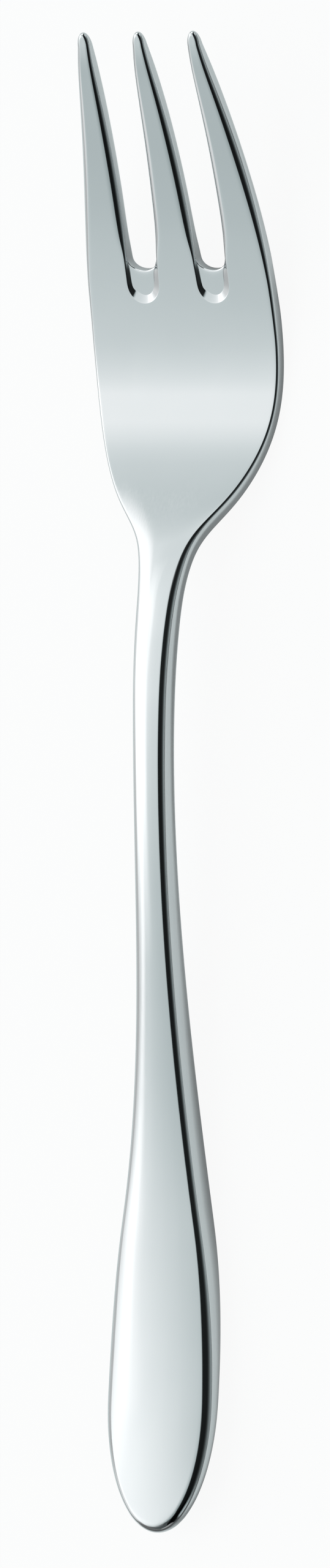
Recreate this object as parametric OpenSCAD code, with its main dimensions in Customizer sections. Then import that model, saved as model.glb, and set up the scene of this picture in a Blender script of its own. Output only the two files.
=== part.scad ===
// Fish fork, one forging: three tines, palm, neck and handle.
// Sizes in mm. It lies on its palm and on its handle, front face up, tines towards +Y.
// Places along the fork are distances from the tine tips.

/* [Overall] */
// Length from the tine tips to the end of the handle
length = 185; // [165:1:205]

/* [Head outline] */
// Width across the outer edges at the tine tips
tips_width = 17; // [15:0.2:19]
// Side growth of the head per mm behind the tips
tips_flare = 0.188; // [0.12:0.004:0.24]
// Greatest width of the head
head_width = 27; // [24:0.2:30]
// Tips to the greatest width
head_at = 36; // [32:0.5:42]
// Width half way down the shoulders
shoulder_width = 12.2; // [9:0.2:15]
// Tips to half way down the shoulders
shoulder_at = 60.8; // [57:0.2:64]
// Side loss of the shoulders per mm
shoulder_slope = 0.86; // [0.6:0.02:1.1]

/* [Neck outline] */
// Width where the shoulders have run into the neck
neck_width = 5.5; // [4.6:0.1:7]
// Tips to the top of the neck
neck_at = 71.5; // [69:0.5:76]
// Width of the waist
waist_width = 4.7; // [3.6:0.1:6]
// Tips to the waist
waist_at = 92.7; // [84:0.5:100]

/* [Handle outline] */
// Width half way along the flare
flare_width = 11.9; // [9:0.2:13]
// End of the handle to half way along the flare
flare_from_end = 38.3; // [32:0.5:44]
// Side growth of the flare per mm
flare_slope = 0.166; // [0.1:0.004:0.22]
// Greatest width of the handle
handle_width = 15.4; // [12:0.2:18]
// End of the handle to its greatest width
handle_from_end = 16; // [11:0.5:20]

/* [Tines and slots] */
// Width of the middle tine behind its rounded tip
tine_tip_width = 1.4; // [1.1:0.1:2]
// Width of the middle tine at the slot roots
tine_root_width = 6.2; // [5:0.1:7]
// Centre line to the inner edge of an outer tine at the tips
slot_outer_tip = 7.4; // [7:0.1:7.6]
// Centre line to the inner edge of an outer tine at the slot roots
slot_outer_root = 7.2; // [6.6:0.1:7.6]
// Length of the rounded end of a tine
tip_cap = 1.3; // [0.9:0.1:2]
// Tips to the slot root on the front face
slot_front = 33.1; // [30:0.1:36]
// Length of the ground ramp in a slot root
slot_ramp = 3.8; // [0.5:0.1:5]

/* [Thickness] */
// Thickness at the very tips
tip_thick = 1.2; // [1:0.1:1.8]
// Thickness just behind the tips
point_thick = 2; // [1.5:0.1:2.6]
// Thickness in the middle of the tines
tine_thick = 2.4; // [1.8:0.1:3]
// Thickness of the palm
palm_thick = 1.9; // [1.4:0.1:2.6]
// Thickness of the neck at its edges
neck_thick = 3.3; // [2.4:0.1:4.2]
// Thickness of the handle at its edges
handle_thick = 4.4; // [3:0.1:5.4]
// Thickness at the end of the handle
end_thick = 2.8; // [2:0.1:3.6]

/* [Bends] */
// Height of the tips over the table, underside
tip_rise = 13.5; // [9:0.5:18]
// Climb of the tines at the tips per mm
tip_slope = 0.48; // [0.3:0.02:0.6]
// Height of the tines where they leave the palm
bow_rise = 3.3; // [2:0.1:4.6]
// Climb of the tines there per mm
bow_slope = 0.25; // [0.15:0.01:0.35]
// Tips to the lowest place of the palm
belly_at = 45.3; // [43:0.1:48]
// Height of the shoulders over the table
shoulder_rise = 2.8; // [2:0.1:3.6]
// Climb of the shoulders per mm
shoulder_climb = 0.367; // [0.25:0.01:0.45]
// Tips to the crest of the neck
arch_at = 82; // [77:0.5:88]
// Height of the neck over the table
arch_rise = 6.3; // [4:0.1:9]
// End of the handle to the place where it rests
rest_from_end = 34; // [28:0.5:42]
// Lift of the end of the handle
end_rise = 2.2; // [0:0.1:4]

/* [Edges and crown] */
// Edge radius at the tips
tip_edge = 0.42; // [0.2:0.02:0.48]
// Edge radius of the tines
tine_edge = 0.9; // [0.4:0.05:1]
// Edge radius of the palm
palm_edge = 0.5; // [0.3:0.05:0.7]
// Edge radius of the neck
neck_edge = 0.95; // [0.5:0.05:1.1]
// Edge radius of the handle
handle_edge = 1.4; // [0.6:0.05:1.5]
// Edge radius at the end of the handle
end_edge = 1.1; // [0.6:0.05:1.3]
// Rise of the front face in the middle of the neck
neck_crown = 0.4; // [0:0.05:0.6]
// Rise of the front face in the middle of the handle
handle_crown = 0.75; // [0:0.05:1]
// Bulge of the underside along the neck and handle
under_crown = 0.35; // [0:0.05:0.5]

/* [Hidden] */

handle_at = length - handle_from_end;
flare_at = length - flare_from_end;
rest_at = length - rest_from_end;
bow_at = 0.6 * belly_at;
rise_at = belly_at + 0.36 * (arch_at - belly_at);

// Stations along the fork: place, value, slope
outline = [
    [0, tips_width / 2, tips_flare],
    [head_at, head_width / 2, 0],
    [shoulder_at, shoulder_width / 2, -shoulder_slope],
    [neck_at, neck_width / 2, -0.035],
    [waist_at, waist_width / 2, 0],
    [flare_at, flare_width / 2, flare_slope],
    [handle_at, handle_width / 2, 0]
];
underside = [
    [0, tip_rise, -tip_slope],
    [bow_at, bow_rise, -bow_slope],
    [belly_at, 0, 0],
    [rise_at, shoulder_rise, shoulder_climb],
    [arch_at, arch_rise, 0],
    [rest_at, 0, 0],
    [length, end_rise, 0.05]
];
thickness = [
    [0, tip_thick, 0.3],
    [4, point_thick, 0.06],
    [16, tine_thick, 0],
    [belly_at, palm_thick, 0],
    [arch_at, neck_thick, 0],
    [rest_at - 6, handle_thick, 0],
    [length, end_thick, 0]
];
edge = [
    [0, tip_edge, 0.03],
    [16, tine_edge, 0],
    [belly_at, palm_edge, 0],
    [arch_at, neck_edge, 0],
    [rest_at + 9, handle_edge, 0],
    [length, end_edge, 0]
];
front_crown = [
    [0, 0, 0],
    [belly_at, 0, 0],
    [arch_at, neck_crown, 0],
    [rest_at, handle_crown, 0],
    [length, handle_crown / 2, 0]
];
back_crown = [
    [0, 0, 0],
    [belly_at, 0, 0],
    [arch_at, under_crown, 0],
    [length, under_crown, 0]
];
middle_tine = [
    [0, tine_tip_width / 2, 0.1],
    [slot_front, tine_root_width / 2, 0.05]
];

// Smooth curve through stations, read at place t
function curve(t, s, k = 0) =
    k < len(s) - 2 && t > s[k + 1][0] ? curve(t, s, k + 1) :
    let (h = s[k + 1][0] - s[k][0], q = (t - s[k][0]) / h)
    s[k][1] * (1 + 2 * q) * (1 - q) ^ 2 + s[k][2] * h * q * (1 - q) ^ 2 +
    s[k + 1][1] * q ^ 2 * (3 - 2 * q) + s[k + 1][2] * h * q ^ 2 * (q - 1);

// Half width of the outline, the inner edges of the tines, and the mid surface of the blank
function half(t) = curve(t, outline);
function slot_outer(t) = slot_outer_tip + (slot_outer_root - slot_outer_tip) * t / slot_front;
function slot_inner(t) = curve(t, middle_tine);
function mid(t) = curve(t, underside) + curve(t, back_crown) + curve(t, thickness) / 2;
function climb(t) = (mid(t + 0.02) - mid(t - 0.02)) / 0.04;

// Columns across: a tine, a slot, a tine, a slot, a tine
tine_cells = 2;
slot_cells = 6;
lane = tine_cells + slot_cells;
columns = 2 * lane + tine_cells;
// Rows along: handle end, handle to slot roots, tines, tine tips
end_rows = 5;
body_rows = 44;
root = end_rows + body_rows;
tine_rows = 14;
cap_rows = 3;
rows = root + tine_rows;
// Widest turn of the rounded ends that still lies on a side row
turn = 60;

end_length = length - handle_at;
root_half = (slot_outer(slot_front) - slot_inner(slot_front)) / 2;
root_at = slot_front - root_half;
palm_from = slot_front + 1.6;

// Place of a row along the fork before its ends are rounded
function row_at(j) =
    j <= end_rows ? handle_at + end_length * sin(turn * (1 - j / end_rows)) :
    j < root ? handle_at + (palm_from - handle_at) * (j - end_rows) / (body_rows - 1) :
    j <= rows - cap_rows ? root_at + (tip_cap - root_at) * (j - root) / (tine_rows - cap_rows) :
    tip_cap * (1 - sin(turn * (j - rows + cap_rows) / cap_rows));

// Column i at place t, all edges drawn back by e
function lane_x(i, e, t) =
    let (k = floor(i / lane), m = i % lane, centre = (slot_outer(t) + slot_inner(t)) / 2)
    m > tine_cells ? (2 * k - 1) * centre + slot_reach(e, t) * sin(slot_turn(m)) :
    tine_edge_x(k, e, t, -1) * (1 - m / tine_cells) + tine_edge_x(k, e, t, 1) * m / tine_cells;
function slot_turn(m) = 180 * (m - tine_cells) / slot_cells - 90;
function slot_reach(e, t) = (slot_outer(t) - slot_inner(t)) / 2 + e;
// Left or right edge of tine k
function tine_edge_x(k, e, t, side) =
    k == 1 ? side * (slot_inner(t) - e) :
    side == k - 1 ? side * (half(t) - e) : (k - 1) * (slot_outer(t) + e);

// Point of the plan in row j and column i; f goes from 0 at the front face to 1 at the back
function plan(j, i, e, f) =
    j <= end_rows ? plan_end(j, i, e) :
    j <= root ? plan_body(j, i, e, f) :
    plan_tine(j, floor(i / lane), min(i % lane, tine_cells), e, f);
function share(i, e) = lane_x(i, e, root_at) / (half(root_at) - e);
function plan_end(j, i, e) =
    let (a = handle_width / 2 - e, g = turn * (1 - j / end_rows), x = share(i, e) * a * cos(g))
    [x, handle_at + (end_length - e) * (j == 0 ? sqrt(1 - (x / a) ^ 2) : sin(g))];
function plan_body(j, i, e, f) =
    let (t = row_at(j) - f * slot_ramp * max(0, 1 - (root - j) / 4))
    j < root ? [share(i, e) * (half(t) - e), t] :
    [lane_x(i, e, t), t + (i % lane > tine_cells ? slot_reach(e, t) * cos(slot_turn(i % lane)) : 0)];
function plan_tine(j, k, m, e, f) =
    let (
        n = j - rows + cap_rows,
        s = row_at(j) - f * slot_ramp * max(0, 1 - (j - root) / (tine_rows - cap_rows)),
        t = max(s, tip_cap),
        left = tine_edge_x(k, e, t, -1),
        right = tine_edge_x(k, e, t, 1),
        q = 2 * m / tine_cells - 1,
        g = turn * max(n, 0) / cap_rows,
        x = q * cos(g)
    )
    [(left + right + (right - left) * x) / 2,
     n <= 0 ? s : tip_cap - (tip_cap - e) * (j == rows ? sqrt(1 - x ^ 2) : sin(g))];

// Point of the fork over a plan point, h above the mid surface
function place(p, h) =
    let (c = climb(p[1]), n = sqrt(1 + c ^ 2))
    [p[0], length / 2 - p[1] + c / n * h, mid(p[1]) + h / n];
function front(s) = s > 0 ? front_crown : back_crown;
function radius(t) = min(curve(t, edge), 0.48 * curve(t, thickness));
// Angle at which a face runs into its rounded edge
function lean(t, s) =
    atan(2 * curve(t, front(s)) / (min(half(min(t, handle_at)), handle_width / 2) - radius(t)));
function inset(t, a) = radius(t) * (1 - sin(a));
function level(t, a) = curve(t, thickness) / 2 - radius(t) * (1 - cos(a));
// How much of the crown is left at a plan point
function swell(p, e) =
    p[1] > handle_at ?
        max(0, 1 - (p[0] / (handle_width / 2 - e)) ^ 2 - ((p[1] - handle_at) / (end_length - e)) ^ 2) :
        1 - (p[0] / (half(p[1]) - e)) ^ 2;

// Front face (s = 1) or back face (s = -1)
function face_point(j, i, s) =
    let (t = row_at(j), a = lean(t, s), e = inset(t, a), p = plan(j, i, e, (1 - s) / 2))
    place(p, s * (level(p[1], a) + curve(p[1], front(s)) * swell(p, e)));
// Rounded edge, ring k of 6 from the front face to the back face
function edge_point(j, i, k) =
    let (
        t = row_at(j),
        s = k <= 3 ? 1 : -1,
        lean_a = lean(t, s),
        a = lean_a + (90 - lean_a) * (k <= 3 ? k : 7 - k) / 3,
        drop = radius(t) * (1 - cos(a)) / curve(t, thickness),
        p = plan(j, i, inset(t, a), s > 0 ? drop : 1 - drop)
    )
    place(p, s * level(p[1], a));

// Outline of the faces as a loop of [row, column], once round the fork
function tine_up(k) = [for (j = [root:rows]) [j, k * lane + tine_cells]];
function tine_over(k) = [for (m = [tine_cells - 1:-1:1]) [rows, k * lane + m]];
function tine_down(k) = [for (j = [rows:-1:root]) [j, k * lane]];
function slot_round(k) = [for (m = [lane - 1:-1:tine_cells + 1]) [root, k * lane + m]];
loop = concat(
    [for (j = [0:root - 1]) [j, columns]],
    tine_up(2), tine_over(2), tine_down(2), slot_round(1),
    tine_up(1), tine_over(1), tine_down(1), slot_round(0),
    tine_up(0), tine_over(0), tine_down(0),
    [for (j = [root - 1:-1:0]) [j, 0]],
    [for (i = [1:columns - 1]) [0, i]]
);

rings = 6;
width = columns + 1;
sheet = (rows + 1) * width;
function on_loop(b) = loop[b % len(loop)];
// Number of the point on loop place b in ring k; ring 0 is the front face, ring 7 the back
function ring_point(b, k) =
    k == 0 ? on_loop(b)[0] * width + on_loop(b)[1] :
    k > rings ? sheet + on_loop(b)[0] * width + on_loop(b)[1] :
    2 * sheet + (b % len(loop)) * rings + k - 1;

points = concat(
    [for (j = [0:rows], i = [0:columns]) face_point(j, i, 1)],
    [for (j = [0:rows], i = [0:columns]) face_point(j, i, -1)],
    [for (b = loop, k = [1:rings]) edge_point(b[0], b[1], k)]
);
function is_metal(j, i) = j < root || i % lane < tine_cells;
face_quads = [
    for (j = [0:rows - 1], i = [0:columns - 1])
        if (is_metal(j, i))
            [j * width + i, (j + 1) * width + i, (j + 1) * width + i + 1, j * width + i + 1]
];
back_quads = [
    for (q = face_quads)
        [for (n = [3:-1:0]) sheet + q[n]]
];
edge_quads = [
    for (b = [0:len(loop) - 1], k = [0:rings])
        [ring_point(b, k), ring_point(b + 1, k), ring_point(b + 1, k + 1), ring_point(b, k + 1)]
];
far = max([for (p = points) p[1]]);
near = min([for (p = points) p[1]]);
low = min([for (p = points) p[2]]);

module fork()
    color("silver")
        translate([0, -(far + near) / 2, -low])
            polyhedron(points, concat(face_quads, back_quads, edge_quads), convexity = 8);

fork();
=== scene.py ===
"""Fish fork: one polished steel forging, lying face up on a pale studio floor."""

import math
from types import SimpleNamespace

import bpy
import numpy as np
from bpy.props import FloatProperty, FloatVectorProperty, IntProperty, PointerProperty
from mathutils import Matrix, Vector


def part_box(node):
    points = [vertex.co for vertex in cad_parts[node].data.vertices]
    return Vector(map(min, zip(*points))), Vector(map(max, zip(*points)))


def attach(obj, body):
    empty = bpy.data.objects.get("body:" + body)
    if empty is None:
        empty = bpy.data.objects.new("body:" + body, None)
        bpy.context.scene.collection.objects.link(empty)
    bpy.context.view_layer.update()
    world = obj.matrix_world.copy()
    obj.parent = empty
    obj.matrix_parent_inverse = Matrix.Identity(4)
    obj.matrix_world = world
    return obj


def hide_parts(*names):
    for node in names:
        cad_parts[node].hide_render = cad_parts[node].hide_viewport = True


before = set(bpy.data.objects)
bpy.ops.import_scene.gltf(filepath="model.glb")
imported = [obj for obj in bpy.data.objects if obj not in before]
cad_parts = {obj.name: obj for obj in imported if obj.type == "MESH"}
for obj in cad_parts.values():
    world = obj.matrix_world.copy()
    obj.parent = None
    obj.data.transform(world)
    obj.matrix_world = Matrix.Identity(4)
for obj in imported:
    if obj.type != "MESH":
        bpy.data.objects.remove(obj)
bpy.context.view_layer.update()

bl_info = {
    "name": "Fish Fork",
    "version": (1, 0, 0),
    "blender": (4, 5, 0),
    "location": "View3D > Sidebar > Fish Fork",
    "description": "Makes a three-tined fish fork and the stage it lies on",
    "category": "Object",
}

MM = 0.001
FORK_LOW, FORK_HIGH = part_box("fork")

# Columns across the sheet: a tine, a slot, a tine, a slot, a tine
TINE_CELLS = 8
SLOT_CELLS = 12
LANE = TINE_CELLS + SLOT_CELLS
COLUMNS = 2 * LANE + TINE_CELLS
# Rows along the fork: handle end, handle and palm, rows that bend into the slot roots,
# the ledge in the roots, tines, and the last rows of these, which round their tips
END_ROWS = 10
BODY_ROWS = 140
BLEND_ROWS = 6
LEDGE_ROWS = 4
TINE_ROWS = 36
CAP_ROWS = 8
BLEND = END_ROWS + BODY_ROWS
ROOT = BLEND + BLEND_ROWS
LEDGE = ROOT + LEDGE_ROWS
ROWS = LEDGE + TINE_ROWS
# Rows over which the marks of the ledge fade out along the tines
LEDGE_FADE = 8
# Rows at the front of the ledge over which the step round it stands up
STEP_ROWS = 1.25
# Least drop from ring to ring on a slot's wall, in mm
RING_GAP = 0.008
# Widest turn of the rounded ends that still lies on a side row
END_TURN = math.radians(60)
# Rings of the rim: steps of a rounding, turns of the fillet round the ledge and of its lip,
# and the ring at the ledge's level
ROUND_RINGS = 5
FILLET_TURNS = (0, math.pi / 4, math.pi / 2)
LIP_TURNS = (math.pi / 6, math.pi / 3, math.pi / 2)
LEDGE_RING = ROUND_RINGS + len(FILLET_TURNS)
# Turn from the slot root at which the step round the ledge starts to steepen, and the turn it takes
STEP_BEND, STEP_FADE = math.radians(50), math.radians(30)
# Sharpness of the ridge along the middle of the shoulders and the neck
SHOULDER_RIDGE, NECK_RIDGE = 0.9, 2.5
# Depth of the slot roots in the back face, as a share of a half circle's
BACK_ROOT = 0.65
# Greatest edge radius, as a share of the thickness
MOST_ROUND = 0.48
# Spacing of the sampled curves, in mm
SAMPLE = 0.1


def size(name, description, millimetres):
    """A length that a user may change, held in metres."""
    return FloatProperty(
        name=name,
        description=description,
        default=millimetres * MM,
        unit="LENGTH",
        precision=5,
    )


def lean(name, description, degrees):
    """An angle that a user may change, held in radians."""
    return FloatProperty(
        name=name,
        description=description,
        default=math.radians(degrees),
        subtype="ANGLE",
    )


def colour(name, description, rgb):
    """A colour that a user may change."""
    return FloatVectorProperty(name=name, description=description, default=rgb, subtype="COLOR")


def roughness(name, description, share):
    """A roughness that a user may change."""
    return FloatProperty(name=name, description=description, default=share, subtype="FACTOR")


class FishForkOutline(bpy.types.PropertyGroup):
    """Widths of the fork seen from above, and where they are"""

    length: size("Length", "Tine tips to handle end", (FORK_HIGH.y - FORK_LOW.y) / MM)
    tips_width: size("Tips width", "Across the outer edges at the tine tips", 17.2)
    head_width: size("Head width", "Greatest width of the head", 27.4)
    head_at: size("Head place", "Tips to the greatest width of the head", 36)
    shoulder_top: size("Shoulder top", "Width where the shoulders turn in", 17.75)
    shoulder_width: size("Shoulder width", "Width half way down the shoulders", 10.95)
    shoulder_foot: size("Shoulder foot", "Width where the shoulders run out", 6.75)
    shoulder_at: size("Shoulder place", "Tips to half way down the shoulders", 60.8)
    neck_width: size("Neck width", "Width where the shoulders end", 5.75)
    neck_at: size("Neck place", "Tips to the top of the neck", 71.5)
    waist_width: size("Waist width", "Narrowest width of the neck", 5)
    waist_at: size("Waist place", "Tips to the waist", 92.7)
    flare_width: size("Flare width", "Width half way along the handle's flare", 12.15)
    flare_from_end: size("Flare place", "Handle end to half way along the flare", 38.3)
    handle_width: size("Handle width", "Greatest width of the handle", 15.6)
    handle_from_end: size("Handle place", "Handle end to its greatest width", 16)


class FishForkTines(bpy.types.PropertyGroup):
    """The three tines and the two slots between them"""

    tip_width: size("Tip width", "Width of the middle tine behind its tip", 1.24)
    root_width: size("Root width", "Width of the middle tine at the slot roots", 6.2)
    slot_outer_tip: size("Slot at tips", "Centre line to an outer tine at the tips", 7.2)
    slot_outer_root: size("Slot at roots", "Centre line to an outer tine at the roots", 7.35)
    tip_cap: size("Tip rounding", "Length of the rounded end of a tine", 1.6)
    slot_front: size("Slot length", "Tips to the slot root on the front face", 32.6)
    ledge_length: size("Ledge length", "Length of the sunk ledge in a slot root", 3.1)
    ledge_depth: size("Ledge depth", "Depth of the ledge under the front face", 0.4)
    ledge_fillet: size("Ledge fillet", "Radius in the corner round the ledge", 0.06)
    ledge_lip: size("Ledge lip", "Radius of the ledge's free edge", 0.25)


class FishForkSection(bpy.types.PropertyGroup):
    """Thickness, bends, edges and crown along the fork"""

    tip_thick: size("Tip thickness", "Thickness at the very tips", 0.9)
    point_thick: size("Point thickness", "Thickness just behind the tips", 1.85)
    tine_thick: size("Tine thickness", "Thickness in the middle of the tines", 2.1)
    palm_thick: size("Palm thickness", "Thickness of the palm", 1.65)
    neck_thick: size("Neck thickness", "Thickness of the neck at its edges", 3.3)
    handle_thick: size("Handle thickness", "Thickness of the handle at its edges", 4.4)
    end_thick: size("End thickness", "Thickness at the end of the handle", 2.45)
    tip_rise: size("Tip rise", "Underside of the tips over the table", 13.9)
    bow_rise: size("Bow rise", "Underside of the tines where they leave the palm", 3.15)
    belly_at: size("Belly place", "Tips to the lowest place of the palm", 45.3)
    shoulder_rise: size("Shoulder rise", "Underside of the shoulders over the table", 2.8)
    arch_at: size("Arch place", "Tips to the crest of the neck", 82)
    arch_rise: size("Arch rise", "Underside of the neck over the table", 6.15)
    rest_from_end: size("Rest place", "Handle end to the place where it rests", 34)
    end_rise: size("End rise", "Lift of the handle end", 2.65)
    tip_edge: size("Tip edge", "Edge radius at the tips", 0.42)
    tine_edge: size("Tine edge", "Edge radius of the tines", 1)
    root_edge: size("Root edge", "Edge radius of the slot roots", 0.25)
    palm_edge: size("Palm edge", "Edge radius of the palm", 0.4)
    neck_edge: size("Neck edge", "Edge radius of the neck", 1)
    shoulder_band: size("Shoulder band", "Width of the leaning band along the shoulders' edges", 3.5)
    neck_band: size("Neck band", "Width of the leaning band along the neck's edges", 1.7)
    handle_edge: size("Handle edge", "Edge radius of the handle", 1.5)
    end_edge: size("End edge", "Edge radius at the handle end", 1.2)


class FishForkLean(bpy.types.PropertyGroup):
    """How far the faces lean over where they run into the edges, and how far the sides bulge"""

    neck: lean("Neck", "Both faces of the neck", 9)
    handle: lean("Handle", "Front face of the handle", 10.3)
    end: lean("Handle end", "Front face at the end of the handle", 6)
    under: lean("Underside", "Back face of the handle", 6)
    side: lean("Sides", "Turn of the sides between their middle and the edges", 20)
    step: lean("Step", "Slope of the step round the ledges in the slot roots", 23)
    step_turn: lean("Step turn", "How much steeper the step is at the left of the ledges", 20)


class FishForkFinish(bpy.types.PropertyGroup):
    """Look of the steel and of the stage"""

    steel_light: colour("Steel, light", "Colour of the polished steel", (0.638, 0.66, 0.668))
    steel_deep: colour("Steel, deep", "Colour where the polish is duller", (0.598, 0.625, 0.635))
    gloss_low: roughness("Finest roughness", "Roughness of the best polished places", 0.06)
    gloss_high: roughness("Dullest roughness", "Roughness along the finest polishing lines", 0.12)
    floor: colour("Floor", "Colour of the studio floor", (0.8, 0.91, 0.91))
    smoothing: IntProperty(
        name="Smoothing",
        description="Subdivision steps of the fork's mesh",
        default=1,
        min=0,
        max=2,
    )


def in_mm(*groups):
    """All sizes of some property groups as plain numbers in mm."""
    sizes = SimpleNamespace()
    for group in groups:
        for name in group.__annotations__:
            setattr(sizes, name, getattr(group, name) / MM)
    return sizes


def through(stations, t):
    """Smooth curve through stations of (place, value, slope), read at the places t."""
    place, value, slope = np.array(stations, float).T
    k = np.clip(np.searchsorted(place, t, side="right") - 1, 0, len(place) - 2)
    h = place[k + 1] - place[k]
    q = (t - place[k]) / h
    return (
        value[k] * (1 + 2 * q) * (1 - q) ** 2
        + slope[k] * h * q * (1 - q) ** 2
        + value[k + 1] * q**2 * (3 - 2 * q)
        + slope[k + 1] * h * q**2 * (q - 1)
    )


def faired(values, reach):
    """Running mean over reach mm, taken three times, with the ends carried straight on."""
    n = int(reach / SAMPLE) // 2
    weights = np.full(2 * n + 1, 1 / (2 * n + 1))
    for _ in range(3):
        steps = np.arange(1, n + 1)
        before = values[0] - (values[1] - values[0]) * steps[::-1]
        after = values[-1] + (values[-1] - values[-2]) * steps
        values = np.convolve(np.concatenate([before, values, after]), weights, "valid")
    return values


class Forging:
    """Form of the fork in mm. A place t is a distance from the tine tips."""

    def __init__(self, s, lean):
        self.s = s
        self.step_lean = lean.step
        self.step_turn = lean.step_turn
        self.places = np.arange(0, s.length + SAMPLE, SAMPLE)
        self.handle_at = s.length - s.handle_from_end
        self.end_length = s.handle_from_end
        flare_at = s.length - s.flare_from_end
        rest_at = s.length - s.rest_from_end
        bow_at = 0.6 * s.belly_at
        rise_at = s.belly_at + 0.36 * (s.arch_at - s.belly_at)
        point_at, tine_at = 4, 16
        band_at = s.shoulder_at + 2
        crown_at = flare_at - 20

        # Stations along the fork: place, value and slope
        self.half = self.curve(2, [
            (0, s.tips_width / 2, 0.22),
            (s.head_at, s.head_width / 2, 0),
            (s.shoulder_at - 4, s.shoulder_top / 2, -0.66),
            (s.shoulder_at, s.shoulder_width / 2, -0.9),
            (s.shoulder_at + 5.2, s.shoulder_foot / 2, -0.18),
            (s.neck_at, s.neck_width / 2, -0.035),
            (s.waist_at, s.waist_width / 2, 0),
            (flare_at, s.flare_width / 2, 0.166),
            (self.handle_at, s.handle_width / 2, 0),
            (s.length, s.handle_width / 2, 0),
        ])
        self.slot_inner = self.curve(1, [
            (0, s.tip_width / 2, 0.16),
            (s.slot_front, s.root_width / 2, 0.05),
            (s.length, s.root_width / 2, 0),
        ])
        self.slot_outer = self.curve(1, [
            (0, s.slot_outer_tip, -0.02),
            (s.slot_front, s.slot_outer_root, 0.02),
            (s.length, s.slot_outer_root, 0),
        ])
        root_half = float(self.slot_outer(s.slot_front) - self.slot_inner(s.slot_front)) / 2
        self.root_at = s.slot_front - root_half
        self.ledge_at = self.root_at - s.ledge_length
        self.palm_from = s.slot_front + 5

        self.thick = self.curve(3, [
            (0, s.tip_thick, 0.3),
            (point_at, s.point_thick, 0.06),
            (tine_at, s.tine_thick, 0),
            (s.belly_at, s.palm_thick, 0),
            (s.arch_at, s.neck_thick, 0),
            (rest_at - 6, s.handle_thick, 0),
            (s.length, s.end_thick, 0),
        ])
        self.outer_edge = self.curve(3, [
            (0, s.tip_edge, 0.03),
            (tine_at, s.tine_edge, 0),
            (s.head_at, s.palm_edge, 0),
            (s.shoulder_at - 2, s.palm_edge, 0),
            (s.neck_at - 4, s.neck_edge, 0),
            (s.waist_at, s.neck_edge, 0),
            (flare_at, 1.1 * s.neck_edge, 0.005),
            (rest_at + 12, s.handle_edge, 0),
            (s.length, s.end_edge, 0),
        ])
        self.slot_edge = self.curve(1, [
            (0, s.tip_edge, 0.03),
            (tine_at, s.tine_edge, 0),
            (self.ledge_at - 2.5, 0.8 * s.tine_edge, -0.1),
            (self.ledge_at, 0.8 * s.ledge_depth, 0),
            (self.root_at, s.root_edge, 0),
            (s.length, s.root_edge, 0),
        ])
        self.bulge = self.curve(3, [
            (0, 0, 0),
            (self.ledge_at, 0, 0),
            (s.belly_at, lean.side, 0),
            (s.length, lean.side, 0),
        ])
        self.front_lean = self.curve(4, [
            (0, 0, 0),
            (s.shoulder_at - 7, 0, 0),
            (s.shoulder_at + 5, lean.neck, 0),
            (s.waist_at, lean.neck, 0),
            (crown_at, lean.handle, 0),
            (self.handle_at, lean.handle, 0),
            (s.length, lean.end, 0),
        ])
        self.back_lean = self.curve(4, [
            (0, 0, 0),
            (s.shoulder_at, 0, 0),
            (s.arch_at, lean.neck, 0),
            (flare_at, lean.under, 0),
            (s.length, lean.under, 0),
        ])
        self.band = self.curve(4, [
            (0, s.shoulder_band, 0),
            (band_at, s.shoulder_band, 0),
            (s.neck_at, s.neck_band, 0),
            (s.waist_at, s.neck_band, 0),
            (crown_at, s.handle_width / 2, 0),
            (s.length, s.handle_width / 2, 0),
        ])
        self.ridge = self.curve(4, [
            (0, SHOULDER_RIDGE, 0),
            (band_at, SHOULDER_RIDGE, 0),
            (s.neck_at, NECK_RIDGE, 0),
            (s.waist_at, NECK_RIDGE, 0),
            (crown_at, 1, 0),
            (s.length, 1, 0),
        ])
        underside = self.curve(5, [
            (0, s.tip_rise, -0.56),
            (bow_at, s.bow_rise, -0.25),
            (s.belly_at, 0, 0),
            (rise_at, s.shoulder_rise, 0.367),
            (s.arch_at, s.arch_rise, 0),
            (rest_at, 0, 0),
            (s.length, s.end_rise, 0.08),
        ])
        centre = np.zeros(self.places.shape)
        belly = self.crown(centre, self.places, self.radius(self.places, False), -1)
        middle = underside(self.places) + belly + self.thick(self.places) / 2
        self.mid = self.sampled(middle)
        self.climb = self.sampled(np.gradient(middle, SAMPLE))

    def curve(self, reach, stations):
        """Curve through stations, smoothed over reach mm."""
        return self.sampled(faired(through(stations, self.places), reach))

    def sampled(self, values):
        """Curve that is read between sampled values."""
        return lambda t: np.interp(t, self.places, values)

    def radius(self, t, on_slot):
        """Edge radius of the outer edges, or of the edges in the slots."""
        edge = np.where(on_slot, self.slot_edge(t), self.outer_edge(t))
        return np.minimum(edge, MOST_ROUND * self.thick(t))

    def row_at(self, j, side):
        """Place of row j of a face before the rounded ends and the slot roots bend it."""
        s = self.s
        blend, root, palm, root_at = self.zones(side)
        end = self.handle_at + self.end_length * np.sin(END_TURN * (1 - j / END_ROWS))
        body = self.handle_at + (palm - self.handle_at) * (j - END_ROWS) / (blend - END_ROWS)
        bend = palm + (root_at - palm) * (j - blend) / BLEND_ROWS
        ledge = self.root_at + (self.ledge_at - self.root_at) * (j - ROOT) / LEDGE_ROWS
        tine = self.ledge_at + (s.tip_cap - self.ledge_at) * (j - LEDGE) / (ROWS - CAP_ROWS - LEDGE)
        cap = s.tip_cap * (1 - np.sin(END_TURN * (j - ROWS + CAP_ROWS) / CAP_ROWS))
        return np.select(
            [j <= END_ROWS, j <= blend, j <= root, j <= LEDGE, j <= ROWS - CAP_ROWS],
            [end, body, bend, ledge, tine],
            cap,
        )

    def zones(self, side):
        """Row where a face starts to bend, row of its slot roots, and the places of both."""
        if side > 0:
            return BLEND, ROOT, self.palm_from, self.root_at
        return BLEND + LEDGE_ROWS, LEDGE, self.palm_from - self.s.ledge_length, self.ledge_at

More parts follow.
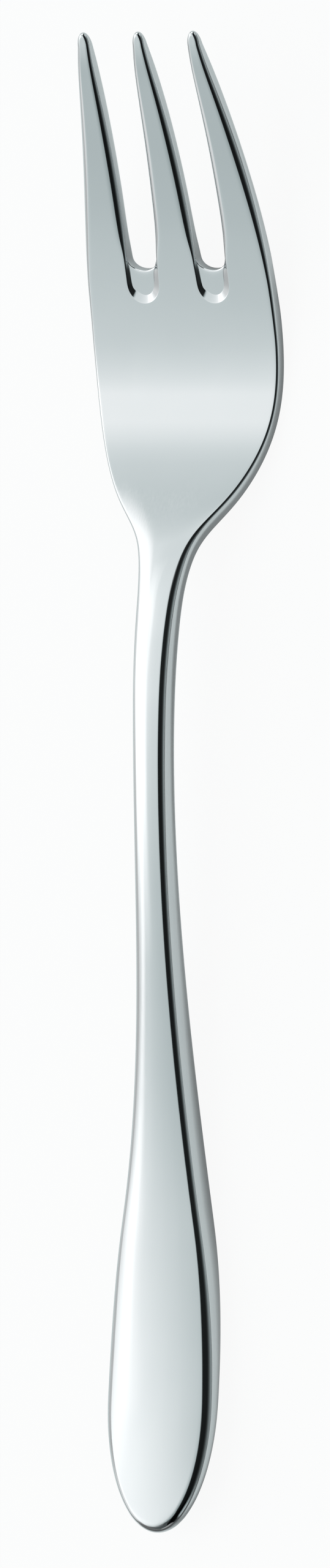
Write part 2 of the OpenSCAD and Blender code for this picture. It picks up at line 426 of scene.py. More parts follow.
    def tine_side(self, k, side, outer, inner, t):
        """Left or right edge of tine k, drawn back by outer or inner."""
        middle = side * (self.slot_inner(t) - inner)
        out = side * (self.half(t) - outer)
        into = (k - 1) * (self.slot_outer(t) + inner)
        return np.where(k == 1, middle, np.where(side == k - 1, out, into))

    def slot_reach(self, inner, t):
        """Half the width of a slot, with its edges drawn back."""
        return (self.slot_outer(t) - self.slot_inner(t)) / 2 + inner

    def lane_x(self, i, outer, inner, t):
        """Column i at place t, with the outer and inner edges drawn back."""
        k = i // LANE
        m = i % LANE
        left = self.tine_side(k, -1, outer, inner, t)
        right = self.tine_side(k, 1, outer, inner, t)
        tine = left + (right - left) * m / TINE_CELLS
        centre = (2 * k - 1) * (self.slot_outer(t) + self.slot_inner(t)) / 2
        slot = centre + self.slot_reach(inner, t) * np.sin(slot_turn(m))
        return np.where(m > TINE_CELLS, slot, tine)

    def plan(self, j, i, outer, inner, side):
        """Plan points (x, t) of rows j and columns i of a face, with its edges drawn back."""
        s = self.s
        blend, root, palm, root_at = self.zones(side)
        k = i // LANE
        m = i % LANE
        row = self.row_at(j, side)
        share = self.lane_x(i, outer, inner, root_at) / (self.half(root_at) - outer)

        a = s.handle_width / 2 - outer
        g = END_TURN * (1 - j / END_ROWS)
        end_x = share * a * np.cos(g)
        arc = np.where(j == 0, np.sqrt(np.clip(1 - (end_x / a) ** 2, 0, 1)), np.sin(g))
        end_t = self.handle_at + (self.end_length - outer) * arc

        body_x = share * (self.half(row) - outer)

        root_x = self.lane_x(i, outer, inner, root_at)
        flat = 1 if side > 0 else BACK_ROOT
        round_t = (flat * self.slot_reach(0, root_at) + inner) * np.cos(slot_turn(m))
        root_t = root_at + np.where(m > TINE_CELLS, round_t, 0)
        q = np.clip((j - blend) / BLEND_ROWS, 0, 1)
        palm_x = share * (self.half(palm) - outer)
        bend_x = palm_x + (root_x - palm_x) * q
        bend_t = palm + (root_t - palm) * q

        full = np.maximum(row, s.tip_cap)
        left = self.tine_side(k, -1, outer, inner, full)
        right = self.tine_side(k, 1, outer, inner, full)
        n = j - ROWS + CAP_ROWS
        g = END_TURN * np.clip(n, 0, None) / CAP_ROWS
        x = (2 * np.minimum(m, TINE_CELLS) / TINE_CELLS - 1) * np.cos(g)
        tine_x = (left + right + (right - left) * x) / 2
        arc = np.where(j == ROWS, np.sqrt(np.clip(1 - x**2, 0, 1)), np.sin(g))
        tine_t = np.where(n <= 0, row, s.tip_cap - (s.tip_cap - outer) * arc)

        zones = [j <= END_ROWS, j <= blend, j <= root]
        return (
            np.select(zones, [end_x, body_x, bend_x], tine_x),
            np.select(zones, [end_t, row, bend_t], tine_t),
        )

    def place(self, x, t, h):
        """Points of the fork h above its mid surface, over the plan points (x, t)."""
        c = self.climb(t)
        n = np.sqrt(1 + c**2)
        return np.stack([x, self.s.length / 2 - t + c / n * h, self.mid(t) + h / n], -1)

    def crown(self, x, t, outer, side):
        """Height of a crowned face over its outer edges."""
        reach = self.half(t) - outer
        past = np.maximum(t - self.handle_at, 0) / (self.end_length - outer)
        inside = np.clip(1 - np.hypot(x / reach, past), 0, 1)
        if side > 0:
            slope, ridge = np.tan(self.front_lean(t)), self.ridge(t)
            band = np.minimum(self.band(t), reach)
        else:
            slope, ridge = np.tan(self.back_lean(t)), 1
            band = reach
        q = np.clip(inside * reach / band, 0, 1)
        return slope * band * (q - q ** (ridge + 1) / (ridge + 1))

    def lean(self, j, i, side):
        """Angle at which a face runs into its rounded outer edge."""
        t = self.row_at(j, side)
        a = self.s.handle_width / 2
        share = self.lane_x(i, 0, 0, self.root_at) / self.half(self.root_at)
        turned = np.cos(END_TURN * (1 - j / END_ROWS))
        across = np.where(j == 0, np.abs(share) * np.cos(END_TURN), turned)
        end = np.sqrt((across / a) ** 2 + np.clip(1 - across**2, 0, 1) / self.end_length**2)
        slope = np.tan(self.front_lean(t) if side > 0 else self.back_lean(t))
        return np.arctan(slope * np.where(j <= END_ROWS, a * end, 1))

    def side_inset(self, t, r, a, bulged):
        """How far inside the bulged side an edge of radius r lies where it is turned by a."""
        bulge = np.where(bulged, self.bulge(t), 0)
        wall = self.thick(t) - 2 * r * (1 - np.sin(bulge))
        return wall / 2 * np.tan(bulge / 2) + r * (np.cos(bulge) - np.sin(a))

    def face(self, side):
        """Grid of points of the front face (side 1) or the back face (side -1)."""
        j, i = np.meshgrid(np.arange(ROWS + 1), np.arange(COLUMNS + 1), indexing="ij")
        t = self.row_at(j, side)
        lean = self.lean(j, i, side)
        r = self.radius(t, False)
        outer = self.side_inset(t, r, lean, True)
        x, t = self.plan(j, i, outer, self.radius(t, True), side)
        level = self.thick(t) / 2 - r * (1 - np.cos(lean))
        return self.place(x, t, side * (level + self.crown(x, t, outer, side)))

    def front_height(self, x, t):
        """Height of the front face over the mid surface."""
        return self.thick(t) / 2 + self.crown(x, t, self.radius(t, False), 1)

    def sunk(self, x, t, drop):
        """Points that lie drop below the front face."""
        return self.place(x, t, self.front_height(x, t) - drop)

    def rim(self, path):
        """Rings of points from the front face to the back face, along a path of places."""
        j, i, on_slot = (np.array(c) for c in zip(*path))
        t = self.row_at(j, 1)
        r = self.radius(t, on_slot)
        bulge = np.where(on_slot, 0, self.bulge(t))
        x, _ = self.plan(j, i, r, r, 1)
        total = self.front_height(x, t) + self.thick(t) / 2
        corner = r * (1 - np.sin(bulge))
        wall = total - 2 * corner
        near_ledge = np.where(on_slot, np.clip(1 - (j - LEDGE) / LEDGE_FADE, 0, 1), 0)
        levels = []
        for side in (1, -1):
            lean = np.where(on_slot, 0, self.lean(j, i, side))
            for k in range(1, ROUND_RINGS + 1):
                a = lean + (math.pi / 2 - bulge - lean) * k / ROUND_RINGS
                drop = r * (1 - np.cos(a))
                inset = self.side_inset(t, r, a, ~on_slot)
                levels.append((drop if side > 0 else total - drop, inset))
        for k, ledge_drop in enumerate(self.ledge_levels(), 1):
            q = k / (len(self.ledge_levels()) + 1)
            drop = corner + wall * q
            inset = wall / 2 * np.tan(bulge / 2) * (2 * q - 1) ** 2
            drop = np.maximum(drop + (ledge_drop - drop) * near_ledge, corner + k * RING_GAP)
            levels.insert(ROUND_RINGS + k - 1, (drop, inset))
        levels[-ROUND_RINGS:] = reversed(levels[-ROUND_RINGS:])
        rings = []
        for drop, inset in levels:
            front_x, front_t = self.plan(j, i, inset, inset, 1)
            back_x, back_t = self.plan(j, i, inset, inset, -1)
            f = drop / total
            x = front_x + (back_x - front_x) * f
            t = front_t + (back_t - front_t) * f
            h = self.front_height(x, t) * (1 - f) - self.thick(t) / 2 * f
            rings.append(self.place(x, t, h))
        return np.stack(rings, 1)

    def ledge_levels(self):
        """Depths of the rings on a slot's wall where the ledge meets it."""
        s = self.s
        fillet = [s.ledge_fillet * (1 - math.sin(a)) for a in FILLET_TURNS]
        lip = [s.ledge_lip * (1 - math.cos(a)) for a in LIP_TURNS]
        return [s.ledge_depth - up for up in fillet] + [s.ledge_depth + down for down in lip]

    def step_slope(self, j, i):
        """How gentle the step round a ledge is, its slope, and the length of its straight part."""
        s = self.s
        turn = np.where(i % LANE == 0, math.pi / 2, slot_turn(i % LANE))
        lean = self.step_lean + self.step_turn * np.clip((-turn - STEP_BEND) / STEP_FADE, 0, 1)
        gentle = np.clip((LEDGE - j) / STEP_ROWS, 0, 1)
        slope = math.pi / 2 + (lean - math.pi / 2) * gentle
        rounded = (self.radius(self.row_at(j, 1), True) + s.ledge_fillet) * (1 - np.cos(slope))
        return gentle, slope, (s.ledge_depth - rounded) / np.sin(slope)

    def step(self, path):
        """Rings of points from the front face down to the ledge in a slot root."""
        s = self.s
        j, i, _ = (np.array(c) for c in zip(*path))
        r = self.radius(self.row_at(j, 1), True)
        gentle, slope, run = self.step_slope(j, i)
        rings = []
        for k in range(1, ROUND_RINGS + 1):
            a = slope * k / ROUND_RINGS
            rings.append((r * (1 - np.sin(a)), r * (1 - np.cos(a))))
        foot_inset = rings[-1][0] - run * np.cos(slope)
        foot_drop = rings[-1][1] + run * np.sin(slope)
        for a in (slope, slope / 2):
            inset = foot_inset - s.ledge_fillet * (np.sin(slope) - np.sin(a)) * gentle
            rings.append((inset, foot_drop + s.ledge_fillet * (np.cos(a) - np.cos(slope))))
        points = [self.sunk(*self.plan(j, i, r, inset, 1), drop) for inset, drop in rings]
        return np.stack(points, 1)

    def ledge(self, k):
        """Grid of points of the ledge in slot k."""
        s = self.s
        i = k * LANE + TINE_CELLS + np.arange(SLOT_CELLS + 1)
        none = np.zeros(i.shape)
        j = np.full(i.shape, ROOT)
        gentle, slope, run = self.step_slope(j, i)
        r = self.radius(self.root_at, True)
        inset = r * (1 - np.sin(slope)) - run * np.cos(slope)
        inset = inset - s.ledge_fillet * np.sin(slope) * gentle
        root = self.plan(j, i, none, inset, 1)
        turn = np.linspace(-math.pi / 2, math.pi / 2, SLOT_CELLS + 1)
        lip = self.plan(np.full(i.shape, LEDGE), i, none, s.ledge_lip * np.cos(turn), -1)
        q = np.linspace(0, 1, LEDGE_ROWS + 1)[:, None]
        x, t = (a + (b - a) * q for a, b in zip(root, lip))
        return self.sunk(x, t, s.ledge_depth)

    def lower_wall(self, path):
        """Rings of points from the lip of the ledge down to the back face."""
        s = self.s
        j, i, _ = (np.array(c) for c in zip(*path))
        r = self.radius(self.ledge_at, True)
        rings = []
        for a in LIP_TURNS:
            inset = s.ledge_lip * (1 - math.sin(a)) * np.cos(slot_turn(i % LANE))
            rings.append((inset, s.ledge_depth + s.ledge_lip * (1 - math.cos(a))))
        points = [self.sunk(*self.plan(j, i, r, inset, -1), drop) for inset, drop in rings]
        for k in range(ROUND_RINGS, 0, -1):
            a = math.pi / 2 * k / ROUND_RINGS
            x, t = self.plan(j, i, r, r * (1 - math.sin(a)), -1)
            points.append(self.place(x, t, r * (1 - math.cos(a)) - self.thick(t) / 2))
        return np.stack(points, 1)


def slot_turn(m):
    """Angle round the slot root of column m of a lane."""
    return math.pi * (m - TINE_CELLS) / SLOT_CELLS - math.pi / 2


class Patchwork:
    """Points and quads of a mesh that is put together from grids and strips."""

    def __init__(self):
        self.points = np.zeros((0, 3))
        self.quads = []

    def add(self, points):
        """Adds points and returns their numbers, in the same arrangement."""
        first = len(self.points)
        self.points = np.concatenate([self.points, points.reshape(-1, 3)])
        return first + np.arange(points.size // 3).reshape(points.shape[:-1])

    def grid(self, number, keep=lambda j, i: True, turned_over=False):
        """Quads between the rows and columns of a grid, for the cells that keep lets through."""
        for j in range(number.shape[0] - 1):
            for i in range(number.shape[1] - 1):
                if keep(j, i):
                    quad = [number[j, i], number[j, i + 1], number[j + 1, i + 1], number[j + 1, i]]
                    self.quads.append(quad[::-1] if turned_over else quad)

    def strip(self, chains):
        """Quads between neighbouring chains of points."""
        for a, b in zip(chains, chains[1:]):
            for k in range(len(a) - 1):
                self.quads.append([a[k], a[k + 1], b[k + 1], b[k]])

    def mesh(self, name):
        """Mesh of the quads in metres, centred along the fork and resting on the table."""
        used, quads = np.unique(np.array(self.quads), return_inverse=True)
        points = self.points[used]
        low, high = points.min(0), points.max(0)
        points -= (0, (low[1] + high[1]) / 2, low[2])
        mesh = bpy.data.meshes.new(name)
        mesh.from_pydata((points * MM).tolist(), [], quads.reshape(-1, 4).tolist())
        mesh.validate()
        mesh.shade_smooth()
        return mesh


def up_tine(k):
    """Places along the right edge of tine k, from the ledge to the tip."""
    return [(j, k * LANE + TINE_CELLS, k < 2) for j in range(LEDGE, ROWS + 1)]


def over_tine(k):
    """Places round the tip of tine k, without its ends."""
    return [(ROWS, k * LANE + m, False) for m in range(TINE_CELLS - 1, 0, -1)]


def down_tine(k):
    """Places along the left edge of tine k, from the tip to the ledge."""
    return [(j, k * LANE, k > 0) for j in range(ROWS, LEDGE - 1, -1)]


def outer_path():
    """Places round the fork from the first slot to the last, by way of the handle."""
    return (
        up_tine(0) + over_tine(0) + down_tine(0)
        + [(j, 0, False) for j in range(LEDGE - 1, -1, -1)]
        + [(0, i, False) for i in range(1, COLUMNS)]
        + [(j, COLUMNS, False) for j in range(LEDGE)]
        + up_tine(2) + over_tine(2) + down_tine(2)
    )


def slot_bottom(k, j):
    """Places round the bottom of slot k in row j, right to left, without its ends."""
    return [(j, k * LANE + m, True) for m in range(LANE - 1, TINE_CELLS, -1)]


def step_path(k):
    """Places along the step round the ledge of slot k, without its ends."""
    right = [(j, (k + 1) * LANE, True) for j in range(LEDGE - 1, ROOT - 1, -1)]
    left = [(j, k * LANE + TINE_CELLS, True) for j in range(ROOT, LEDGE)]
    return right + slot_bottom(k, ROOT) + left


def forging_mesh(name, sizes, lean):
    """Closed mesh of the fork, in metres and in the frame's place."""
    forging = Forging(sizes, lean)
    work = Patchwork()
    front = work.add(forging.face(1))
    back = work.add(forging.face(-1))
    ledges = [work.add(forging.ledge(k)) for k in (0, 1)]
    work.grid(front, lambda j, i: j < ROOT or i % LANE < TINE_CELLS)
    work.grid(back, lambda j, i: j < LEDGE or i % LANE < TINE_CELLS, turned_over=True)
    for ledge in ledges:
        work.grid(ledge)

    chains = {}
    for path in (outer_path(), up_tine(1) + over_tine(1) + down_tine(1)):
        rings = work.add(forging.rim(path))
        for (j, i, _), ring in zip(path, rings):
            chains[j, i] = [front[j, i], *ring, back[j, i]]
        for k, ledge in enumerate(ledges):
            for i, column in ((k * LANE + TINE_CELLS, 0), ((k + 1) * LANE, SLOT_CELLS)):
                if (LEDGE, i) in chains:
                    chains[LEDGE, i][LEDGE_RING] = ledge[LEDGE_ROWS, column]
        work.strip([chains[j, i] for j, i, _ in path])

    for k, ledge in enumerate(ledges):
        left, right = k * LANE + TINE_CELLS, (k + 1) * LANE
        path = step_path(k)
        rings = work.add(forging.step(path))
        steps = [
            [front[j, i], *ring, ledge[j - ROOT, i - left]]
            for (j, i, _), ring in zip(path, rings)
        ]
        upper = slice(0, LEDGE_RING + 1)
        work.strip([chains[LEDGE, right][upper], *steps, chains[LEDGE, left][upper]])
        path = slot_bottom(k, LEDGE)
        rings = work.add(forging.lower_wall(path))
        walls = [
            [ledge[LEDGE_ROWS, i - left], *ring, back[LEDGE, i]]
            for (_, i, _), ring in zip(path, rings)
        ]
        lower = slice(LEDGE_RING, None)
        work.strip([chains[LEDGE, right][lower], *walls, chains[LEDGE, left][lower]])
    return work.mesh(name)


# Polish: fineness of the lines across and along the fork and of the haze, the range of both that
# runs from the finest to the dullest roughness, and the relief of the lines
LINES_SCALE = (5200, 70, 5200)
HAZE_SCALE = 90
DULL_RANGE = (0.1, 0.4)
BUMP_STRENGTH = 0.04
BUMP_DISTANCE = 0.00002


def add_node(tree, kind, values=None):
    """New shader node of a kind, with values for some of its inputs."""
    node = tree.nodes.new("ShaderNode" + kind)
    for name, value in (values or {}).items():
        node.inputs[name].default_value = value
    return node


def polished_steel(finish):
    """Mirror-polished stainless steel with faint polishing lines along the fork."""
    material = bpy.data.materials.new("polished_steel")
    material.use_nodes = True
    tree = material.node_tree
    link = tree.links.new
    shader = tree.nodes["Principled BSDF"]
    shader.inputs["Metallic"].default_value = 1

    place = add_node(tree, "TexCoord")
    along = add_node(tree, "Mapping", {"Scale": LINES_SCALE})
    lines = add_node(tree, "TexNoise", {"Scale": 1, "Detail": 3})
    haze = add_node(tree, "TexNoise", {"Scale": HAZE_SCALE, "Detail": 2})
    link(place.outputs["Object"], along.inputs["Vector"])
    link(along.outputs["Vector"], lines.inputs["Vector"])
    link(place.outputs["Object"], haze.inputs["Vector"])

    tint = add_node(tree, "Mix")
    tint.data_type = "RGBA"
    tint.inputs["A"].default_value = (*finish.steel_light, 1)
    tint.inputs["B"].default_value = (*finish.steel_deep, 1)
    link(haze.outputs["Fac"], tint.inputs["Factor"])
    link(tint.outputs["Result"], shader.inputs["Base Color"])

    both = add_node(tree, "Math")
    both.operation = "MULTIPLY"
    gloss = add_node(tree, "MapRange", {
        "From Min": DULL_RANGE[0],
        "From Max": DULL_RANGE[1],
        "To Min": finish.gloss_low,
        "To Max": finish.gloss_high,
    })
    link(lines.outputs["Fac"], both.inputs[0])
    link(haze.outputs["Fac"], both.inputs[1])
    link(both.outputs["Value"], gloss.inputs["Value"])
    link(gloss.outputs["Result"], shader.inputs["Roughness"])

    bump = add_node(tree, "Bump", {"Strength": BUMP_STRENGTH, "Distance": BUMP_DISTANCE})
    link(lines.outputs["Fac"], bump.inputs["Height"])
    link(bump.outputs["Normal"], shader.inputs["Normal"])
    return material


class FISHFORK_OT_forging(bpy.types.Operator):
    """Make the fork: tines, palm, neck and handle in one piece of steel"""

    bl_idname = "fishfork.forging"
    bl_label = "Forge the Fork"

    def execute(self, context):
        scene = context.scene
        sizes = in_mm(scene.fishfork_outline, scene.fishfork_tines, scene.fishfork_section)
        mesh = forging_mesh("steel_fork", sizes, scene.fishfork_lean)
        fork = bpy.data.objects.new("steel_fork", mesh)
        scene.collection.objects.link(fork)
        fork.data.materials.append(polished_steel(scene.fishfork_finish))
        smooth = fork.modifiers.new("smooth", "SUBSURF")
        smooth.levels = smooth.render_levels = scene.fishfork_finish.smoothing
        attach(fork, "root")
        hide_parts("fork")
        return {"FINISHED"}


# Floor: half its side, and how white it is to each kind of ray
FLOOR_REACH = 40
FLOOR_WHITE = (("Is Camera Ray", 0.92), ("Is Glossy Ray", 0.36), ("Is Transmission Ray", 0.36))
# Canopy of lit and dark cards over the fork, which only its reflections see: how far it comes
# down from overhead at each side in degrees, and its cells
CANOPY_RADIUS = 0.7
CANOPY_LENGTH = 6
CANOPY_SIDE = 100
CANOPY_TURNS, CANOPY_ROWS = 200, 400
# Light of the top cards by the angle from overhead, from the fork's left to its right
TOP_TURN = (-60, -40, -33, -12, -3, 4, 48, 60, 75, 90)
TOP_GLOW = (1.4, 1.38, 1.27, 1.06, 1.02, 0.02, 0.02, 0.06, 0.28, 0.55)
# Share of the top cards along the fork, in canopy radii from its middle
TOP_AT = (
    -0.9, -0.75, -0.62, -0.5, -0.4, -0.29, -0.2, -0.12, -0.04,
    0.05, 0.27, 0.38, 0.49, 0.6, 0.85, 1, 1.2,
)
TOP_SHARE = (
    0.1, 0.42, 0.535, 0.53, 0.575, 0.69, 0.735, 0.81, 0.89,
    1.0, 1.0, 0.915, 0.8, 0.72, 0.62, 1.5, 1.7,
)
# White cards at the left of the top cards: where they start and end, and their light along the fork
WHITE_TURN = (-53, -49.5, -48, -44)
WHITE_AT = (-0.8, -0.62, -0.45, -0.3, -0.22, -0.1, 0.8)
WHITE_GLOW = (0.1, 0.7, 0.9, 1.0, 1.3, 1.6, 1.6)
# Grey cards further down at the left: their light along the fork
LOW_AT = (-0.8, -0.62, -0.45, -0.3, -0.2, -0.1, 0.05, 0.2, 0.35, 0.65, 0.85)
LOW_GLOW = (0.2, 0.9, 1.1, 1.0, 0.6, 0.72, 1.0, 1.0, 1.7, 1.6, 0.7)
# How much further down the white cards reach past the tines, in degrees
DROP_AT = (0.6, 0.8)
WHITE_DROP = (0, 8)
# Soft boxes among the cards: light, turn and spread, place in canopy radii and reach;
# and how steeply their light falls off
BOX_EDGE = 1.5
SOFT_BOXES = (
    (0.8, -52, 16, 0.1, 0.35),
    (0.6, 70, 38, 1.5, 1.1),
    (0.6, 80, 30, -1.5, 0.85),
)
# Tint of the dimmest light, and the level from which light is white
DIM_TINT = (0.87, 0.99, 1)
TINT_RANGE = (0.55, 1.35)
# Painted shade: a dark strip on the floor at the fork's right and past its end, which only
# reflections see, darkening the floor they show there
STRIP_RIGHT = (-0.3, 0.03, 0.05, 0.08, 0.3)
STRIP_RIGHT_COVER = (0.0, 0.0, 0.5, 0.9, 1.0)
STRIP_END = (-1.5, -0.105, -0.0955, 1.5)
STRIP_END_COVER = (1.0, 0.9, 0.0, 0.0)
STRIP_GLOW = 0.06
STRIP_HEIGHT = 0.0002
# Shade on the floor close to the fork: first and last point and number of points along and across
SHADE_LENGTH = (-0.1, 0.1, 41)
SHADE_WIDTH = (-0.01, 0.02, 61)
SHADE_HEIGHT = 0.0003
SHADE_COVER = 0.55
SHADE_FADE = 0.004
# Where the shade ends at the fork's right edge, by the place along the fork
SHADE_AT = (-0.09, -0.055, -0.025, -0.01, 0.01, 0.03, 0.045, 0.06, 0.07)
SHADE_EDGE = (0.0075, 0.0078, 0.005, 0.005, 0.008, 0.0125, 0.016, 0.016, -0.003)
# Where the floor under the slot roots is shaded, along and across the fork
UNDER_AT = (0.045, 0.055, 0.0635, 0.0725)
UNDER_COVER = (0, 1, 1, 0)
UNDER_LEFT, UNDER_RIGHT = -0.009, 0.013
# White cards hung over the fork, which only reflections see: their cover is that of a place along
# the fork times the share of a place across it
NECK_CARD = SimpleNamespace(
    height=0.03,
    glow=1.7,
    along=(-0.028, -0.02, -0.01, -0.002, 0.028, 0.042),
    cover=(0.0, 0.25, 0.6, 1.0, 1.0, 0.0),
    across=(-0.028, -0.021, -0.0165, -0.0133, -0.01, 0.004),
    share=(0.0, 1.0, 1.0, 0.65, 0.14, 0.0),
)
SHOULDER_CARD = SimpleNamespace(
    height=0.02,
    glow=1.7,
    along=(0.02, 0.03, 0.04, 0.0495),
    cover=(0.0, 0.2, 0.26, 0.0),
    across=(-0.02, 0.001, 0.0065),
    share=(0.6, 1.0, 0.0),
)
END_CARD = SimpleNamespace(
    height=0.08,
    glow=1.6,
    along=(-0.2, -0.11, -0.085, -0.07, -0.05),
    cover=(0.0, 0.9, 0.68, 0.34, 0.0),
    across=(-0.14, -0.095, -0.052, -0.036, -0.022, -0.01),
    share=(1.4, 1.3, 0.75, 0.5, 0.25, 0.0),
)
# Light on the floor: an even white world and a soft lamp at the fork's left
WORLD_STRENGTH = 0.45
LAMP_AT = (-0.7, 0, 0.7)
LAMP_SIZE = 1.5
LAMP_POWER = 7.5
# Camera: angle to the right of overhead, roll, lens, and height, scale and middle of the picture;
# distance in mm from the origin to the plane of that scale, and the range of what is seen
VIEW_TILT = math.radians(33)
VIEW_ROLL = math.radians(1.03)
LENS = 340
PICTURE_HEIGHT = 2560
PIXELS_PER_MM = 13.216
PICTURE_MIDDLE = (-2.727, 0.076)
VIEW_DEPTH = 5
VIEW_CLIP = (0.01, 100)


def bare_material(name):
    """New material whose node tree is still empty."""
    material = bpy.data.materials.new(name)
    material.use_nodes = True
    material.node_tree.nodes.clear()
    return material


def mix_shaders(tree, first, second):
    """Covers a material with two shaders, and returns the socket for the second one's share."""
    mix = add_node(tree, "MixShader")
    out = add_node(tree, "OutputMaterial")
    tree.links.new(first.outputs[0], mix.inputs[1])
    tree.links.new(second.outputs[0], mix.inputs[2])
    tree.links.new(mix.outputs["Shader"], out.inputs["Surface"])
    return mix.inputs["Fac"]


def grid_faces(rows, columns):
    """Quads of a grid of cells, whose points are counted row by row."""
    width = columns + 1
    corners = (r * width + c for r in range(rows) for c in range(columns))
    return [(a, a + 1, a + width + 1, a + width) for a in corners]


def studio_floor(finish):
    """Pale floor that takes the fork's shadow, whiter where the camera or a reflection sees it."""
    mesh = bpy.data.meshes.new("studio_floor")
    r = FLOOR_REACH
    mesh.from_pydata([(-r, -r, 0), (r, -r, 0), (r, r, 0), (-r, r, 0)], [], [(0, 1, 2, 3)])
    material = bare_material("pale_floor")
    tree = material.node_tree
    paint = add_node(tree, "BsdfDiffuse", {"Color": (*finish.floor, 1)})
    white = add_node(tree, "Emission")
    path = add_node(tree, "LightPath")
    total = mix_shaders(tree, paint, white)
    for ray, share in FLOOR_WHITE:
        part = add_node(tree, "Math", {1: share, 2: 0})
        part.operation = "MULTIPLY_ADD"
        tree.links.new(path.outputs[ray], part.inputs[0])
        tree.links.new(part.outputs["Value"], total)
        total = part.inputs[2]
    mesh.materials.append(material)
    return bpy.data.objects.new("studio_floor", mesh)


def card_canopy():
    """Half tube of cards, bright on the left and dark on the right."""
    turns = np.linspace(-CANOPY_SIDE, CANOPY_SIDE, CANOPY_TURNS + 1)
    places = np.linspace(-CANOPY_LENGTH / 2, CANOPY_LENGTH / 2, CANOPY_ROWS + 1)
    turn, y = np.meshgrid(turns, places, indexing="ij")
    angle = np.radians(turn)
    points = np.stack([CANOPY_RADIUS * np.sin(angle), y, CANOPY_RADIUS * np.cos(angle)], -1)
    mesh = bpy.data.meshes.new("card_canopy")
    mesh.from_pydata(points.reshape(-1, 3).tolist(), [], grid_faces(CANOPY_TURNS, CANOPY_ROWS))
    along = y / CANOPY_RADIUS
    glow = np.interp(turn, TOP_TURN, TOP_GLOW) * np.interp(along, TOP_AT, TOP_SHARE)
    white = np.interp(along, WHITE_AT, WHITE_GLOW)
    glow += (white - glow) * np.interp(turn, WHITE_TURN[2:], (1, 0))
    drop = np.interp(along, DROP_AT, WHITE_DROP)
    low_share = np.interp(turn + drop, WHITE_TURN[:2], (1, 0))
    glow += (np.interp(along, LOW_AT, LOW_GLOW) - glow) * low_share
    for box_glow, box_turn, spread, place, reach in SOFT_BOXES:
        off = np.hypot((turn - box_turn) / spread, (along - place) / reach)
        glow += box_glow * np.clip(BOX_EDGE * (1 - off), 0, 1)
    dimness = np.interp(glow, TINT_RANGE, (1, 0)) * (1 - low_share)
    light = np.ones((*glow.shape, 4))
    light[..., :3] = glow[..., None] * (1 + dimness[..., None] * (np.array(DIM_TINT) - 1))
    mesh.attributes.new("light", "FLOAT_COLOR", "POINT").data.foreach_set("color", light.ravel())

    material = bare_material("lit_card")
    tree = material.node_tree
    light = add_node(tree, "Attribute")
    light.attribute_name = "light"
    lit = add_node(tree, "Emission")
    out = add_node(tree, "OutputMaterial")
    tree.links.new(light.outputs["Color"], lit.inputs["Color"])
    tree.links.new(lit.outputs["Emission"], out.inputs["Surface"])
    mesh.materials.append(material)
    return mirrored_only(bpy.data.objects.new("card_canopy", mesh))


def mirrored_only(card):
    """Hides a card from everything but reflections."""
    card.visible_camera = False
    card.visible_diffuse = False
    card.visible_shadow = False
    return card


def fading_card(name, height, glow, along, across, cover):
    """Level card that is clear where its cover is 0, seen by reflections alone."""
    points = [(x, y, height) for y in along for x in across]
    mesh = bpy.data.meshes.new(name)
    mesh.from_pydata(points, [], grid_faces(len(along) - 1, len(across) - 1))
    mesh.attributes.new("cover", "FLOAT", "POINT").data.foreach_set("value", np.ravel(cover))
    material = bare_material(name)
    tree = material.node_tree
    share = add_node(tree, "Attribute")
    share.attribute_name = "cover"
    clear = add_node(tree, "BsdfTransparent")
    light = add_node(tree, "Emission", {"Strength": glow})
    tree.links.new(share.outputs["Fac"], mix_shaders(tree, clear, light))
    mesh.materials.append(material)
    return mirrored_only(bpy.data.objects.new(name, mesh))


def painted_shade_strip():
    """Painted shade: a dark strip on the floor that fades in away from the fork, seen by reflections
    alone.
    """
    cover = np.maximum.outer(STRIP_END_COVER, STRIP_RIGHT_COVER)
    return fading_card("painted_shade_strip", STRIP_HEIGHT, STRIP_GLOW, STRIP_END, STRIP_RIGHT, cover)


def near_shade():
    """Shade on the floor close to the fork, along its right edge and under the slot roots."""
    along = np.linspace(*SHADE_LENGTH)
    across = np.linspace(*SHADE_WIDTH)
    edge = np.interp(along, SHADE_AT, SHADE_EDGE)[:, None]
    beside = np.clip((edge - across) / SHADE_FADE + 0.5, 0, 1)
    beside = beside * np.clip(across / SHADE_FADE, 0, 1)
    inside = np.minimum(across - UNDER_LEFT, UNDER_RIGHT - across)
    under = np.interp(along, UNDER_AT, UNDER_COVER)[:, None] * np.clip(inside / SHADE_FADE, 0, 1)
    cover = SHADE_COVER * np.maximum(beside, under)
    return fading_card("near_shade", SHADE_HEIGHT, STRIP_GLOW, along, across, cover)


def hung_card(name, card):
    """White card that hangs over the fork and fades out at its edges."""
    cover = np.outer(card.cover, card.share)
    return fading_card(name, card.height, card.glow, card.along, card.across, cover)


def soft_lamp():
    """Soft lamp at the fork's left, for the floor and the fork's shadow on it."""
    data = bpy.data.lights.new("soft_lamp", "AREA")
    data.size = LAMP_SIZE
    data.energy = LAMP_POWER
    lamp = bpy.data.objects.new("soft_lamp", data)
    lamp.location = LAMP_AT
    lamp.rotation_euler = Vector(LAMP_AT).to_track_quat("Z", "Y").to_euler()
    lamp.visible_glossy = False
    return lamp


def white_when_seen(tree):
    """Gives the world its even light, and pure white where the camera looks at it."""
    sky = tree.nodes["Background"]
    sky.inputs["Color"].default_value = (1, 1, 1, 1)
    path = add_node(tree, "LightPath")
    level = add_node(tree, "MapRange", {"To Min": WORLD_STRENGTH, "To Max": 1})
    tree.links.new(path.outputs["Is Camera Ray"], level.inputs["Value"])
    tree.links.new(level.outputs["Result"], sky.inputs["Strength"])


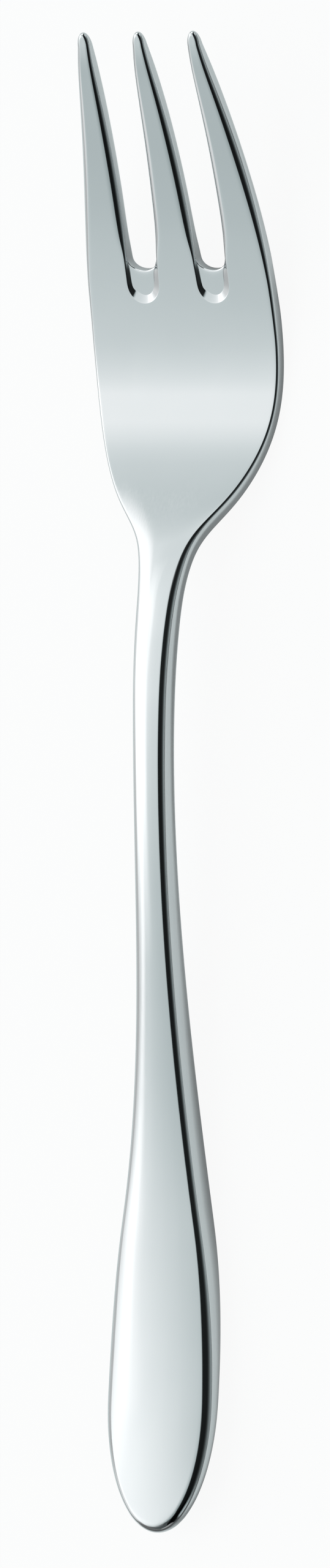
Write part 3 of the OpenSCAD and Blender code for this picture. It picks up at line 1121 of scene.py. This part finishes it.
def photo_camera():
    """Camera over the fork's right side, with the picture's roll."""
    across = Vector((math.cos(VIEW_TILT), 0, -math.sin(VIEW_TILT)))
    back = Vector((math.sin(VIEW_TILT), 0, math.cos(VIEW_TILT)))
    ahead = Vector((0, 1, 0))
    right = across * math.cos(VIEW_ROLL) + ahead * math.sin(VIEW_ROLL)
    up = ahead * math.cos(VIEW_ROLL) - across * math.sin(VIEW_ROLL)
    data = bpy.data.cameras.new("camera")
    data.lens = LENS
    distance = LENS / data.sensor_width * PICTURE_HEIGHT / PIXELS_PER_MM + VIEW_DEPTH
    middle = right * PICTURE_MIDDLE[0] + up * PICTURE_MIDDLE[1]
    camera = bpy.data.objects.new("camera", data)
    turn = Matrix((right, up, back)).transposed().to_4x4()
    camera.matrix_world = Matrix.Translation((middle + back * distance) * MM) @ turn
    data.clip_start, data.clip_end = VIEW_CLIP
    return camera


class FISHFORK_OT_stage(bpy.types.Operator):
    """Lay the floor, light it and set up the camera"""

    bl_idname = "fishfork.stage"
    bl_label = "Set the Stage"

    def execute(self, context):
        scene = context.scene
        floor = studio_floor(scene.fishfork_finish)
        canopy = card_canopy()
        # Painted shade on the floor at the fork's right and past its end, for reflections alone
        strip = painted_shade_strip()
        shade = near_shade()
        neck_card = hung_card("neck_card", NECK_CARD)
        shoulder_card = hung_card("shoulder_card", SHOULDER_CARD)
        end_card = hung_card("end_card", END_CARD)
        lamp = soft_lamp()
        camera = photo_camera()
        for thing in (floor, canopy, strip, shade, neck_card, shoulder_card, end_card, lamp, camera):
            scene.collection.objects.link(thing)
        scene.camera = camera
        world = bpy.data.worlds.new("studio")
        world.use_nodes = True
        white_when_seen(world.node_tree)
        scene.world = world
        scene.view_settings.view_transform = "Standard"
        return {"FINISHED"}


class FISHFORK_PT_sidebar(bpy.types.Panel):
    """Sizes, finish and steps of the fish fork"""

    bl_idname = "FISHFORK_PT_sidebar"
    bl_label = "Fish Fork"
    bl_space_type = "VIEW_3D"
    bl_region_type = "UI"
    bl_category = "Fish Fork"

    def draw(self, context):
        scene = context.scene
        for group in (getattr(scene, name) for name in GROUPS):
            column = self.layout.box().column(align=True)
            for name in group.__annotations__:
                column.prop(group, name)
        self.layout.operator(FISHFORK_OT_forging.bl_idname)
        self.layout.operator(FISHFORK_OT_stage.bl_idname)


GROUPS = {
    "fishfork_outline": FishForkOutline,
    "fishfork_tines": FishForkTines,
    "fishfork_section": FishForkSection,
    "fishfork_lean": FishForkLean,
    "fishfork_finish": FishForkFinish,
}
CLASSES = (*GROUPS.values(), FISHFORK_OT_forging, FISHFORK_OT_stage, FISHFORK_PT_sidebar)


def register():
    """Adds the classes to Blender, and the property groups to its scenes."""
    for cls in CLASSES:
        bpy.utils.register_class(cls)
    for name, group in GROUPS.items():
        setattr(bpy.types.Scene, name, PointerProperty(type=group))


def unregister():
    """Takes the property groups and the classes out of Blender again."""
    for name in GROUPS:
        delattr(bpy.types.Scene, name)
    for cls in reversed(CLASSES):
        bpy.utils.unregister_class(cls)


def main():
    """Makes the fork and its stage."""
    register()
    bpy.ops.fishfork.forging()
    bpy.ops.fishfork.stage()


if __name__ == "__main__":
    main()
